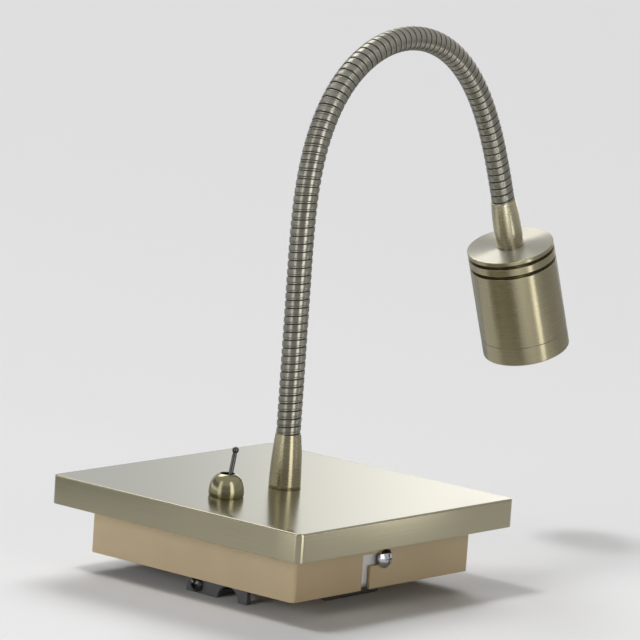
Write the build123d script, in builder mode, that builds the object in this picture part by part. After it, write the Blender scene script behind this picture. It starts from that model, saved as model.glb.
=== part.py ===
"""Wall light with a flexible neck: square base, toggle switch, wound neck and spot head.

The wall is the plane Z = 0 and +Z points away from it. The neck rises from the middle of the base
and arches over towards +X. All sizes are in millimetres.
"""

import os
from math import asin, cos, degrees, radians, sin

from build123d import *

os.makedirs("parts", exist_ok=True)

# Front plate and skirt
plate_side = 132.0
plate_depth = 11.6
plate_wall = 1.5
plate_corner = 3.0
plate_inner_corner = 1.5
plate_edge = 0.7
skirt_side = 108.0
skirt_wall = 1.2
skirt_corner = 2.0
skirt_inner_corner = 0.8
skirt_show = 19.1
wall_gap = 7.0

# Weld studs that hold the skirt to the plate
stud_inset = 9.4
stud_radius = 1.5
stud_rise = 5.0
nut_flats_small = 5.5
nut_height_small = 2.4

# Wall bracket
sheet = 2.0
strap_width = 30.0
flange_height = 28.0
flange_play = 0.4
bend_radius = 1.5
wall_slot_spacing = 60.0
wall_slot_length = 12.0
wall_slot_width = 4.6
joggle_margin = 4.0
cable_hole_radius = 10.0
foot_reach = 48.6
foot_height = 6.2
foot_low_side = -26.0
foot_high_side = 6.0
tongue_width = 14.0
notch_radius = 5.5
notch_side = -16.0

# Hook slots in the skirt and the screws they hang on
hook_height = 11.7
hook_shift = 10.5
hook_width = 5.0
side_screw_radius = 2.0
side_screw_length = 8.0
side_head_radius = 4.0
side_head_height = 2.6
side_head_lift = 0.1
recess_width = 0.9
recess_depth = 1.2
pan_side_share = 1 / 3
thread_play = 0.05

# Earth screw on the bracket's foot
earth_radius = 1.5
earth_length = 5.0
earth_head_radius = 3.0
earth_head_height = 1.8
earth_washer_radius = 2.9
earth_washer_height = 0.6
earth_height = 3.6

# Toggle switch
switch_x = -35.3
switch_lean = 12.0
bushing_radius = 2.95
bushing_bore = 2.25
bushing_rise = 4.0
bushing_flange = 0.8
dome_radius = 7.1
dome_height = 9.0
dome_side = 3.2
dome_mouth = 3.2
washer_height = 0.5
washer_radius = 6.0
hole_play = 0.15
pivot_depth = 0.5
pivot_ball = 2.0
lever_radius = 0.95
lever_tip = 1.35
lever_taper = 4.0
lever_reach = 20.2
lever_tail = 8.5
case_length = 12.7
case_width = 7.8
case_height = 9.0
case_wall = 1.3
rocker_length = 7.2
rocker_width = 3.0
rocker_sheet = 0.5
rocker_height = 2.1
rocker_tilt = 6.0
contact_gap = 0.2
blade_width = 2.0
blade_sheet = 0.8
blade_drop = 4.5
blade_pitch = 3.6

# Flexible neck
link_count = 23
link_pitch = 12.88
ribs_per_link = 4
rib_radius = 5.0
groove_radius = 4.45
groove_width = 0.7
rib_slope = 0.3
neck_bore = 2.2
joint_gap = 1.4
ball_radius = 3.5
ball_play = 0.2
ball_reach = 2.2
ball_root = 0.6
tail_radius = 3.6
tail_length = 9.0
neck_straight = 66.8
bend_in = 71.0
bend_hold = 82.6
bend_out = 74.4
neck_turn_angle = 160.0

# Ferrules and nuts at the two ends of the neck
base_ferrule_radius = 6.6
base_ferrule_top = 5.15
base_ferrule_height = 21.6
ferrule_swell = 0.3
base_thread_radius = 5.0
base_nut_flats = 14.0
base_nut_height = 3.0
base_washer_radius = 9.0
base_washer_height = 0.8
thread_past_nut = 1.5
head_ferrule_radius = 5.9
head_ferrule_top = 5.2
head_ferrule_length = 19.8
head_ferrule_flare = 15.8
head_thread_radius = 4.0
head_nut_flats = 12.0
head_nut_height = 3.0

# Spot head, measured along its axis from the top face
head_radius = 18.4
head_length = 48.0
head_edge = 0.5
head_top_wall = 10.0
head_wall = 2.5
step_wall = 4.5
head_groove_width = 1.5
head_groove_depth = 3.5
head_groove_first = 2.5
head_groove_second = 7.1
bezel_height = 8.1
bezel_thread = 6.0
bezel_wall = 1.3
bezel_play = 0.1
lip_height = 1.8
lip_width = 1.4
lens_height = 2.0
lens_play = 0.1
gasket_height = 1.0
collimator_rim = 1.0
collimator_foot = 5.0
emitter_room = 3.4
sink_height = 8.0
sink_depth = 20.0
board_radius = 11.0
board_height = 1.6
emitter_radius = 2.5
emitter_base = 0.8
board_screw_reach = 8.5
board_screw_radius = 1.25
board_screw_length = 6.0
board_head_radius = 2.1
board_head_height = 1.4
lead_hole_reach = 6.5
lead_hole_radius = 1.6

# Driver, terminal block and leads in the base
driver_length = 58.0
driver_width = 26.0
driver_height = 17.0
driver_gap = 10.4
driver_edge = 1.5
ear_length = 7.0
ear_height = 2.0
ear_width = 10.0
driver_screw_radius = 1.5
driver_head_radius = 2.8
driver_head_height = 1.8
block_gap_x = 16.9
block_gap_y = 14.4
block_length = 24.0
block_width = 17.0
block_height = 13.0
block_ways = 3
block_screw_radius = 1.6
block_screw_depth = 5.0
block_screw_sink = 1.0
block_mouth_radius = 1.7
block_mouth_depth = 5.0
lead_radius = 0.9
lead_bend = 2.5
lead_drop = 5.0
lead_out = 5.0
lead_swing = 6.0
lead_tail = 8.0
live_side = -14.0
neutral_side = 20.0
cable_radius = 1.7
cable_bend = 5.0
cable_drop = 7.5
cable_entry = 4.0

# Heights that follow from the sizes above
skirt_back = wall_gap
rim_z = skirt_back + skirt_show
face_z = rim_z + plate_depth
web_top = face_z - plate_wall
web_under = web_top - skirt_wall
hook_z = skirt_back + hook_height
skirt_out = skirt_side / 2
stud_pitch = skirt_side - 2 * stud_inset
driver_x = skirt_out - driver_gap - driver_width / 2
block_x = block_gap_x + block_width / 2 - skirt_out
block_y = skirt_out - block_gap_y - block_length / 2
flange_out = skirt_out - skirt_wall - flange_play
flange_line = flange_out - sheet / 2
shelf_line = skirt_back + sheet / 2
joggle_line = wall_slot_spacing / 2 + wall_slot_length / 2 + joggle_margin - sheet / 2
base_hole = base_thread_radius + hole_play
switch_hole = bushing_radius + hole_play


def turn(seat, *points, mode=Mode.ADD):
    """Revolve the polygon through (radius, height) points about the seat's axis."""
    with BuildSketch(Plane(seat.origin, x_dir=seat.x_dir, z_dir=-seat.y_dir)) as profile:
        with BuildLine():
            Polyline(*points, close=True)
        make_face()
    revolve(profile.sketch, axis=Axis(seat.origin, seat.z_dir), mode=mode)


def pan_screw(seat, shank, length, head, height):
    """Add a cross-recess screw with a domed head on the seat and its shank below the seat."""
    side = height * pan_side_share
    with BuildSketch(Plane(seat.origin, x_dir=seat.x_dir, z_dir=-seat.y_dir)) as profile:
        with BuildLine():
            Polyline((0, height), (0, -length), (shank, -length), (shank, 0), (head, 0), (head, side))
            TangentArc((0, height), (head, side), tangent=(1, 0))
        make_face()
    revolve(profile.sketch, axis=Axis(seat.origin, seat.z_dir))
    with BuildSketch(seat.offset(height)) as cross:
        Rectangle(head, recess_width)
        Rectangle(recess_width, head)
    extrude(cross.sketch, amount=-recess_depth, mode=Mode.SUBTRACT)


def hex_nut(seat, flats, height, hole):
    """Add a hexagon nut that stands on the seat."""
    with BuildSketch(seat) as section:
        RegularPolygon(flats / 2, 6, major_radius=False)
        Circle(hole, mode=Mode.SUBTRACT)
    extrude(section.sketch, amount=height)


# Front plate: a shallow tray with its open side to the wall
with BuildPart() as front_plate:
    with BuildSketch(Plane.XY.offset(rim_z)):
        RectangleRounded(plate_side, plate_side, plate_corner)
    extrude(amount=plate_depth)
    fillet(front_plate.faces().sort_by(Axis.Z)[-1].edges(), plate_edge)
    with BuildSketch(Plane.XY.offset(rim_z)):
        RectangleRounded(plate_side - 2 * plate_wall, plate_side - 2 * plate_wall, plate_inner_corner)
    extrude(amount=plate_depth - plate_wall, mode=Mode.SUBTRACT)
    with Locations((0, 0, face_z)):
        Hole(base_hole)
    with Locations((switch_x, 0, face_z)):
        Hole(switch_hole)
front_plate.part.label = "front_plate"
export_step(front_plate.part, "parts/front_plate.step")

# Driver screws stand under the two ears of the driver
driver_screw_y = driver_length / 2 + ear_length / 2
driver_screw_spots = [(driver_x, driver_screw_y), (driver_x, -driver_screw_y)]

# Skirt: a pan whose web lies against the back of the plate
with BuildPart() as skirt:
    with BuildSketch(Plane.XY.offset(skirt_back)):
        RectangleRounded(skirt_side, skirt_side, skirt_corner)
    extrude(amount=web_top - skirt_back)
    with BuildSketch(Plane.XY.offset(skirt_back)):
        RectangleRounded(skirt_side - 2 * skirt_wall, skirt_side - 2 * skirt_wall, skirt_inner_corner)
    extrude(amount=web_under - skirt_back, mode=Mode.SUBTRACT)
    with Locations((0, 0, web_top)):
        Hole(base_hole)
        with GridLocations(stud_pitch, stud_pitch, 2, 2):
            Hole(stud_radius + hole_play)
    with Locations((switch_x, 0, web_top)):
        Hole(switch_hole)
    with Locations(*[(x, y, web_top) for x, y in driver_screw_spots]):
        Hole(driver_screw_radius + thread_play)
    with BuildSketch(Plane.XZ):
        with Locations((-hook_shift / 2, hook_z)):
            SlotCenterToCenter(hook_shift, hook_width)
        with Locations((-hook_shift, hook_z + hook_width / 2)):
            Rectangle(hook_width, hook_height + hook_width, align=(Align.CENTER, Align.MAX))
    extrude(amount=skirt_side, both=True, mode=Mode.SUBTRACT)
skirt.part.label = "skirt"
export_step(skirt.part, "parts/skirt.step")

# Weld studs stand on the back of the plate and pass through the skirt's web
with BuildPart() as plate_studs:
    with BuildSketch(Plane.XY.offset(web_top)):
        with GridLocations(stud_pitch, stud_pitch, 2, 2):
            Circle(stud_radius)
    extrude(amount=-(skirt_wall + stud_rise))
plate_studs.part.label = "plate_studs"
export_step(plate_studs.part, "parts/plate_studs.step")

with BuildPart() as stud_nuts:
    with BuildSketch(Plane.XY.offset(web_under)):
        with GridLocations(stud_pitch, stud_pitch, 2, 2):
            RegularPolygon(nut_flats_small / 2, 6, major_radius=False)
            Circle(stud_radius + thread_play, mode=Mode.SUBTRACT)
    extrude(amount=-nut_height_small)
stud_nuts.part.label = "stud_nuts"
export_step(stud_nuts.part, "parts/stud_nuts.step")

# Wall bracket: a strap that steps up off the wall to a flange at each end, and a foot on each side
foot_width = foot_high_side - foot_low_side
foot_middle = (foot_high_side + foot_low_side) / 2
with BuildPart() as wall_bracket:
    with BuildSketch(Plane.YZ):
        with BuildLine():
            FilletPolyline(
                (-flange_line, flange_height),
                (-flange_line, shelf_line),
                (-joggle_line, shelf_line),
                (-joggle_line, sheet / 2),
                (joggle_line, sheet / 2),
                (joggle_line, shelf_line),
                (flange_line, shelf_line),
                (flange_line, flange_height),
                radius=bend_radius,
            )
        trace(line_width=sheet)
    extrude(amount=strap_width / 2, both=True)
    with BuildSketch(Plane.XY):
        with PolarLocations(0, 2):
            with Locations((-foot_reach, foot_high_side)):
                Rectangle(foot_reach, tongue_width, align=(Align.MIN, Align.MAX))
    extrude(amount=sheet)
    with BuildSketch(Plane.XY):
        with PolarLocations(0, 2):
            with Locations((-foot_reach, foot_middle)):
                Rectangle(sheet, foot_width, align=(Align.MIN, Align.CENTER))
    extrude(amount=foot_height)
    with BuildSketch(Plane.YZ.offset(-foot_reach)):
        with Locations((notch_side, 0)):
            Circle(notch_radius)
    extrude(amount=sheet, mode=Mode.SUBTRACT)
    with BuildSketch(Plane.YZ.offset(foot_reach)):
        with Locations((-notch_side, 0)):
            Circle(notch_radius)
    extrude(amount=-sheet, mode=Mode.SUBTRACT)
    with BuildSketch(Plane.XY):
        Circle(cable_hole_radius)
        with GridLocations(0, wall_slot_spacing, 1, 2):
            SlotOverall(wall_slot_length, wall_slot_width, rotation=90)
    extrude(amount=sheet, mode=Mode.SUBTRACT)
    with BuildSketch(Plane.XZ):
        with Locations((0, hook_z)):
            Circle(side_screw_radius + thread_play)
    extrude(amount=skirt_side, both=True, mode=Mode.SUBTRACT)
    with BuildSketch(Plane.YZ.offset(-foot_reach)):
        with Locations((0, earth_height)):
            Circle(earth_radius + thread_play)
    extrude(amount=sheet, mode=Mode.SUBTRACT)
wall_bracket.part.label = "wall_bracket"
export_step(wall_bracket.part, "parts/wall_bracket.step")

# Two side screws hook the skirt to the bracket's flanges
with BuildPart() as side_screws:
    for side in (1, -1):
        hook_spot = (0, side * (skirt_out + side_head_lift), hook_z)
        hook_seat = Plane(hook_spot, x_dir=(1, 0, 0), z_dir=(0, side, 0))
        pan_screw(hook_seat, side_screw_radius, side_screw_length, side_head_radius, side_head_height)
side_screws.part.label = "side_screws"
export_step(side_screws.part, "parts/side_screws.step")

# Earth screw and its cup washer on the foot that faces -X
earth_seat = Plane((-foot_reach, 0, earth_height), x_dir=(0, 1, 0), z_dir=(-1, 0, 0))
with BuildPart() as earth_washer:
    turn(
        earth_seat,
        (earth_radius + thread_play, 0),
        (earth_washer_radius, 0),
        (earth_washer_radius, earth_washer_height),
        (earth_radius + thread_play, earth_washer_height),
    )
earth_washer.part.label = "earth_washer"
export_step(earth_washer.part, "parts/earth_washer.step")

with BuildPart() as earth_screw:
    pan_screw(
        earth_seat.offset(earth_washer_height),
        earth_radius,
        earth_length,
        earth_head_radius,
        earth_head_height,
    )
earth_screw.part.label = "earth_screw"
export_step(earth_screw.part, "parts/earth_screw.step")

# Switch: the bushing's flange closes the case, and the dome nut clamps it to the plate
switch_seat = Plane((switch_x, 0, face_z))
washer_under = web_under - washer_height
case_top = washer_under - bushing_flange
case_under = case_top - case_height
with BuildPart() as switch_washer:
    turn(
        Plane((switch_x, 0, washer_under)),
        (switch_hole, 0),
        (washer_radius, 0),
        (washer_radius, washer_height),
        (switch_hole, washer_height),
    )
switch_washer.part.label = "switch_washer"
export_step(switch_washer.part, "parts/switch_washer.step")

with BuildPart() as switch_bushing:
    with BuildSketch(Plane((switch_x, 0, case_top))):
        Rectangle(case_length, case_width)
    extrude(amount=bushing_flange)
    with BuildSketch(Plane((switch_x, 0, case_top))):
        Circle(bushing_radius)
    extrude(amount=face_z + bushing_rise - case_top)
    with Locations((switch_x, 0, face_z + bushing_rise)):
        Hole(bushing_bore)
switch_bushing.part.label = "switch_bushing"
export_step(switch_bushing.part, "parts/switch_bushing.step")

thread_bore = bushing_radius + thread_play
with BuildPart() as switch_dome_nut:
    with BuildSketch(Plane(switch_seat.origin, x_dir=(1, 0, 0), z_dir=(0, -1, 0))):
        with BuildLine():
            Polyline(
                (dome_mouth, dome_height),
                (dome_mouth, bushing_rise),
                (thread_bore, bushing_rise),
                (thread_bore, 0),
                (dome_radius, 0),
                (dome_radius, dome_side),
            )
            TangentArc((dome_radius, dome_side), (dome_mouth, dome_height), tangent=(0, 1))
        make_face()
    revolve(axis=Axis(switch_seat.origin, (0, 0, 1)))
switch_dome_nut.part.label = "switch_dome_nut"
export_step(switch_dome_nut.part, "parts/switch_dome_nut.step")

# The lever leans towards +X at rest and turns on a ball in the bushing
lever_axis = (sin(radians(switch_lean)), 0, cos(radians(switch_lean)))
lever_pivot = Plane((switch_x, 0, face_z - pivot_depth), x_dir=(0, 1, 0), z_dir=lever_axis)
tip_start = lever_reach - lever_taper
with BuildPart() as switch_lever:
    turn(
        lever_pivot,
        (0, -lever_tail),
        (lever_radius, -lever_tail),
        (lever_radius, tip_start),
        (lever_tip, lever_reach - lever_tip),
        (0, lever_reach - lever_tip),
    )
    with Locations(lever_pivot.origin):
        Sphere(pivot_ball)
    with Locations(lever_pivot.offset(lever_reach - lever_tip).origin):
        Sphere(lever_tip)
switch_lever.part.label = "switch_lever"
export_step(switch_lever.part, "parts/switch_lever.step")

case_floor = case_under + case_wall
with BuildPart() as switch_body:
    with BuildSketch(Plane((switch_x, 0, case_under))):
        Rectangle(case_length, case_width)
    extrude(amount=case_height)
    with BuildSketch(Plane((switch_x, 0, case_floor))):
        Rectangle(case_length - 2 * case_wall, case_width - 2 * case_wall)
    extrude(amount=case_height - case_wall, mode=Mode.SUBTRACT)
    with BuildSketch(Plane((switch_x, 0, case_under))):
        with Locations((0, 0), (blade_pitch, 0)):
            Rectangle(blade_sheet + 2 * thread_play, blade_width + 2 * thread_play)
    extrude(amount=case_wall, mode=Mode.SUBTRACT)
switch_body.part.label = "switch_body"
export_step(switch_body.part, "parts/switch_body.step")

# Rocker contact on the middle blade: it tips against the lever's lean
rocker_pivot = case_floor + rocker_height
rocker_axis = (-sin(radians(rocker_tilt)), 0, cos(radians(rocker_tilt)))
rocker_seat = Plane((switch_x, 0, rocker_pivot), x_dir=(0, 1, 0), z_dir=rocker_axis)
with BuildPart() as switch_rocker:
    with BuildSketch(rocker_seat.offset(-rocker_sheet / 2)):
        Rectangle(rocker_width, rocker_length)
    extrude(amount=rocker_sheet)
switch_rocker.part.label = "switch_rocker"
export_step(switch_rocker.part, "parts/switch_rocker.step")

# The middle blade stops just under the rocker, and the side blade under the rocker's lowest reach
blade_foot = case_under - blade_drop
middle_blade = rocker_pivot - rocker_sheet / 2 - contact_gap
rocker_dip = blade_pitch * sin(radians(rocker_tilt))
side_blade = middle_blade - rocker_dip - contact_gap
with BuildPart() as switch_terminals:
    with BuildSketch(Plane((switch_x, 0, blade_foot))):
        Rectangle(blade_sheet, blade_width)
    extrude(amount=middle_blade - blade_foot)
    with BuildSketch(Plane((switch_x + blade_pitch, 0, blade_foot))):
        Rectangle(blade_sheet, blade_width)
    extrude(amount=side_blade - blade_foot)
switch_terminals.part.label = "switch_terminals"
export_step(switch_terminals.part, "parts/switch_terminals.step")

# Base ferrule: a slightly swelling cone with a threaded spigot through plate and skirt
spigot_under = web_under - base_washer_height - base_nut_height - thread_past_nut
neck_foot = face_z + base_ferrule_height
ferrule_middle = (base_ferrule_radius + base_ferrule_top) / 2 + ferrule_swell
socket_radius = tail_radius + thread_play
with BuildPart() as base_ferrule:
    with BuildSketch(Plane((0, 0, face_z), x_dir=(1, 0, 0), z_dir=(0, -1, 0))):
        with BuildLine():
            Polyline(
                (base_ferrule_top, base_ferrule_height),
                (socket_radius, base_ferrule_height),
                (socket_radius, base_ferrule_height - tail_length - hole_play),
                (neck_bore, base_ferrule_height - tail_length - hole_play),
                (neck_bore, spigot_under - face_z),
                (base_thread_radius, spigot_under - face_z),
                (base_thread_radius, 0),
                (base_ferrule_radius, 0),
            )
            ThreePointArc(
                (base_ferrule_radius, 0),
                (ferrule_middle, base_ferrule_height / 2),
                (base_ferrule_top, base_ferrule_height),
            )
        make_face()
    revolve(axis=Axis.Z)
base_ferrule.part.label = "base_ferrule"
export_step(base_ferrule.part, "parts/base_ferrule.step")

with BuildPart() as neck_washer:
    turn(
        Plane((0, 0, web_under - base_washer_height)),
        (base_hole, 0),
        (base_washer_radius, 0),
        (base_washer_radius, base_washer_height),
        (base_hole, base_washer_height),
    )
neck_washer.part.label = "neck_washer"
export_step(neck_washer.part, "parts/neck_washer.step")

with BuildPart() as neck_nut:
    hex_nut(
        Plane((0, 0, web_under - base_washer_height - base_nut_height)),
        base_nut_flats,
        base_nut_height,
        base_thread_radius + thread_play,
    )
neck_nut.part.label = "neck_nut"
export_step(neck_nut.part, "parts/neck_nut.step")

# Flexible neck: its curvature rises from 0, holds, and falls to 0 again along its length
peak_bend = neck_turn_angle / (bend_in / 2 + bend_hold + bend_out / 2)


def heading(along):
    """Degrees that the neck has turned from +Z towards +X, this far along it."""
    rise = min(max(along - neck_straight, 0), bend_in)
    flat = min(max(along - neck_straight - bend_in, 0), bend_hold)
    fall = min(max(along - neck_straight - bend_in - bend_hold, 0), bend_out)
    return peak_bend * (rise**2 / (2 * bend_in) + flat + fall - fall**2 / (2 * bend_out))


def step(point, from_heading, to_heading, length):
    """The point reached from another along an arc of this length between two headings."""
    half = radians(to_heading - from_heading) / 2
    chord = length * (sin(half) / half if half else 1)
    middle = radians(from_heading + to_heading) / 2
    return (point[0] + chord * sin(middle), 0, point[2] + chord * cos(middle))


def neck_plane(point, angle):
    """The plane across the neck at a point, with its X axis held along Y."""
    return Plane(point, x_dir=(0, 1, 0), z_dir=(sin(radians(angle)), 0, cos(radians(angle))))


joint_points = [(0, 0, neck_foot)]
joint_headings = [heading(n * link_pitch) for n in range(link_count + 1)]
for n in range(link_count):
    joint_points.append(step(joint_points[n], joint_headings[n], joint_headings[n + 1], link_pitch))


def link_plane(n, along):
    """The plane across link n at a distance along its arc."""
    angle = joint_headings[n] + (joint_headings[n + 1] - joint_headings[n]) * along / link_pitch
    return neck_plane(step(joint_points[n], joint_headings[n], angle, along), angle)


# Every link is a ribbed tube with a ball at its far end and a cup for the last link's ball
ball_low = joint_gap / 2 + ball_root
ball_start = degrees(asin(ball_low / ball_radius))
ball_end = degrees(asin(ball_reach / ball_radius))
for n in range(link_count):
    first = n == 0
    last = n == link_count - 1
    ribs_start = 0 if first else joint_gap / 2
    ribs_end = link_pitch if last else link_pitch - joint_gap / 2
    rib_pitch = (ribs_end - ribs_start + groove_width) / ribs_per_link
    near_seat = link_plane(n, 0)
    far_seat = link_plane(n, link_pitch)
    with BuildPart() as neck_link:
        for rib in range(ribs_per_link):
            rib_start = ribs_start + rib * rib_pitch
            rib_end = rib_start + rib_pitch - groove_width
            with BuildSketch(link_plane(n, rib_start)):
                Circle(groove_radius)
            with BuildSketch(link_plane(n, rib_start + rib_slope)):
                Circle(rib_radius)
            with BuildSketch(link_plane(n, rib_end - rib_slope)):
                Circle(rib_radius)
            with BuildSketch(link_plane(n, rib_end)):
                Circle(groove_radius)
        loft(ruled=True)
        if first:
            turn(
                near_seat,
                (0, ball_root),
                (0, -tail_length),
                (tail_radius, -tail_length),
                (tail_radius, ball_root),
            )
        else:
            with BuildSketch(Plane(near_seat.origin, x_dir=near_seat.x_dir, z_dir=-near_seat.y_dir)):
                with BuildLine():
                    cup = CenterArc((0, 0), ball_radius + ball_play, -90, 180)
                    Line(cup @ 1, cup @ 0)
                make_face()
            revolve(axis=Axis(near_seat.origin, near_seat.z_dir), mode=Mode.SUBTRACT)
        if last:
            turn(
                far_seat,
                (0, -ball_root),
                (0, tail_length),
                (tail_radius, tail_length),
                (tail_radius, -ball_root),
            )
        else:
            with BuildSketch(Plane(far_seat.origin, x_dir=far_seat.x_dir, z_dir=-far_seat.y_dir)):
                with BuildLine():
                    ball = CenterArc((0, 0), ball_radius, -ball_start, ball_start + ball_end)
                    Polyline(ball @ 1, (0, ball_reach), (0, -ball_low), ball @ 0)
                make_face()
            revolve(axis=Axis(far_seat.origin, far_seat.z_dir))
        bore_planes = [link_plane(n, rib * link_pitch / ribs_per_link) for rib in range(ribs_per_link + 1)]
        if first:
            bore_planes.insert(0, near_seat.offset(-tail_length))
        bore_planes.append(far_seat.offset(tail_length if last else ball_reach))
        for bore_plane in bore_planes:
            with BuildSketch(bore_plane):
                Circle(neck_bore)
        loft(ruled=True, mode=Mode.SUBTRACT)
    neck_link.part.label = f"neck_link_{n + 1:02d}"
    export_step(neck_link.part, f"parts/neck_link_{n + 1:02d}.step")

# Head ferrule, between the neck's end and the head's top face
neck_end = link_plane(link_count - 1, link_pitch)
head_seat = neck_end.offset(head_ferrule_length)
head_spigot = head_ferrule_length + head_top_wall + head_nut_height + thread_past_nut
with BuildPart() as head_ferrule:
    turn(
        neck_end,
        (socket_radius, 0),
        (head_ferrule_top, 0),
        (head_ferrule_radius, head_ferrule_flare),
        (head_ferrule_radius, head_ferrule_length),
        (head_thread_radius, head_ferrule_length),
        (head_thread_radius, head_spigot),
        (neck_bore, head_spigot),
        (neck_bore, tail_length + hole_play),
        (socket_radius, tail_length + hole_play),
    )
head_ferrule.part.label = "head_ferrule"
export_step(head_ferrule.part, "parts/head_ferrule.step")

with BuildPart() as head_nut:
    hex_nut(
        head_seat.offset(head_top_wall),
        head_nut_flats,
        head_nut_height,
        head_thread_radius + thread_play,
    )
head_nut.part.label = "head_nut"
export_step(head_nut.part, "parts/head_nut.step")

# Head body: a finned top, a stepped bore, and an open end for the front ring
body_end = head_length - bezel_height
head_bore = head_radius - head_wall
with BuildPart() as head_body:
    turn(
        head_seat,
        (head_thread_radius + hole_play, 0),
        (head_radius - head_edge, 0),
        (head_radius, head_edge),
        (head_radius, body_end),
        (head_bore, body_end),
        (head_bore, sink_depth),
        (head_radius - step_wall, sink_depth),
        (head_radius - step_wall, head_top_wall),
        (head_thread_radius + hole_play, head_top_wall),
    )
    for groove in (head_groove_first, head_groove_second):
        with BuildSketch(head_seat.offset(groove - head_groove_width / 2)):
            Circle(head_radius)
            Circle(head_radius - head_groove_depth, mode=Mode.SUBTRACT)
        extrude(amount=head_groove_width, mode=Mode.SUBTRACT)
head_body.part.label = "head_body"
export_step(head_body.part, "parts/head_body.step")

# Heat sink on the step in the bore, with a hole for the lead and threads for the board
sink_front = sink_depth + sink_height
sink_seat = head_seat.offset(sink_front)
with BuildPart() as heat_sink:
    with BuildSketch(head_seat.offset(sink_depth)):
        Circle(head_bore - bezel_play)
        with Locations((0, lead_hole_reach)):
            Circle(lead_hole_radius, mode=Mode.SUBTRACT)
        with Locations((board_screw_reach, 0), (-board_screw_reach, 0)):
            Circle(board_screw_radius + thread_play, mode=Mode.SUBTRACT)
    extrude(amount=sink_height)
heat_sink.part.label = "heat_sink"
export_step(heat_sink.part, "parts/heat_sink.step")

with BuildPart() as led_board:
    with BuildSketch(sink_seat):
        Circle(board_radius)
        with Locations((board_screw_reach, 0), (-board_screw_reach, 0)):
            Circle(board_screw_radius + hole_play, mode=Mode.SUBTRACT)
    extrude(amount=board_height)
led_board.part.label = "led_board"
export_step(led_board.part, "parts/led_board.step")

board_front = sink_front + board_height
with BuildPart() as led_screws:
    for side in (board_screw_reach, -board_screw_reach):
        screw_spot = head_seat.from_local_coords((side, 0, board_front))
        screw_seat = Plane(screw_spot, x_dir=head_seat.x_dir, z_dir=head_seat.z_dir)
        pan_screw(screw_seat, board_screw_radius, board_screw_length, board_head_radius, board_head_height)
led_screws.part.label = "led_screws"
export_step(led_screws.part, "parts/led_screws.step")

with BuildPart() as led_emitter:
    with BuildSketch(head_seat.offset(board_front)):
        Circle(emitter_radius)
    extrude(amount=emitter_base)
    with Locations(head_seat.offset(board_front + emitter_base).origin):
        Sphere(emitter_radius)
    split(bisect_by=head_seat.offset(board_front), keep=Keep.TOP)
led_emitter.part.label = "led_emitter"
export_step(led_emitter.part, "parts/led_emitter.step")

# Front ring with its thread in the body, and what it clamps: gasket, cover lens and collimator
lip_inside = head_length - lip_height
lens_back = lip_inside - lens_height
gasket_back = lens_back - gasket_height
rim_back = gasket_back - collimator_rim
thread_radius = head_bore - bezel_play
ring_bore = thread_radius - bezel_wall
lens_radius = ring_bore - lens_play
lip_radius = ring_bore - lip_width
with BuildPart() as bezel_ring:
    turn(
        head_seat,
        (ring_bore, body_end - bezel_thread),
        (thread_radius, body_end - bezel_thread),
        (thread_radius, body_end),
        (head_radius, body_end),
        (head_radius, head_length - head_edge),
        (head_radius - head_edge, head_length),
        (lip_radius, head_length),
        (lip_radius, lip_inside),
        (ring_bore, lip_inside),
    )
bezel_ring.part.label = "bezel_ring"
export_step(bezel_ring.part, "parts/bezel_ring.step")

with BuildPart() as cover_lens:
    with BuildSketch(head_seat.offset(lens_back)):
        Circle(lens_radius)
    extrude(amount=lens_height)
cover_lens.part.label = "cover_lens"
export_step(cover_lens.part, "parts/cover_lens.step")

with BuildPart() as lens_gasket:
    with BuildSketch(head_seat.offset(gasket_back)):
        Circle(lens_radius)
        Circle(lip_radius, mode=Mode.SUBTRACT)
    extrude(amount=gasket_height)
lens_gasket.part.label = "lens_gasket"
export_step(lens_gasket.part, "parts/lens_gasket.step")

cone_top = lip_radius
emitter_clear = board_front + emitter_base + emitter_radius + hole_play
with BuildPart() as collimator:
    turn(
        head_seat,
        (emitter_room, board_front),
        (collimator_foot, board_front),
        (cone_top, rim_back),
        (lens_radius, rim_back),
        (lens_radius, gasket_back),
        (0, gasket_back),
        (0, emitter_clear),
        (emitter_room, emitter_clear),
    )
collimator.part.label = "collimator"
export_step(collimator.part, "parts/collimator.step")

# Lead from the neck through the heat sink to the back of the board
lead_exit = (head_top_wall + head_spigot - head_ferrule_length) / 2 + lead_bend
with BuildPart() as head_lead:
    lead_points = [
        head_seat.from_local_coords((0, 0, head_top_wall)),
        head_seat.from_local_coords((0, 0, lead_exit)),
        head_seat.from_local_coords((0, lead_hole_reach, sink_depth)),
        head_seat.from_local_coords((0, lead_hole_reach, sink_front)),
    ]
    with BuildLine() as lead_path:
        FilletPolyline(*lead_points, radius=lead_bend)
    with BuildSketch(Plane(lead_points[0], x_dir=(0, 1, 0), z_dir=head_seat.z_dir)):
        Circle(lead_radius)
    sweep(path=lead_path.line)
head_lead.part.label = "head_lead"
export_step(head_lead.part, "parts/head_lead.step")

# Driver: a closed case with an ear at each end, screwed to the skirt's web
with BuildPart() as led_driver:
    with BuildSketch(Plane.XY.offset(web_under)):
        with Locations((driver_x, 0)):
            Rectangle(driver_width, driver_length)
    extrude(amount=-driver_height)
    fillet(led_driver.edges().filter_by(Axis.Z), driver_edge)
    fillet(led_driver.faces().sort_by(Axis.Z)[0].edges(), driver_edge / 2)
    with BuildSketch(Plane.XY.offset(web_under)):
        with Locations((driver_x, 0)):
            Rectangle(ear_width, driver_length + 2 * ear_length)
        with Locations(*driver_screw_spots):
            Circle(driver_screw_radius + hole_play, mode=Mode.SUBTRACT)
    extrude(amount=-ear_height)
led_driver.part.label = "led_driver"
export_step(led_driver.part, "parts/led_driver.step")

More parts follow.
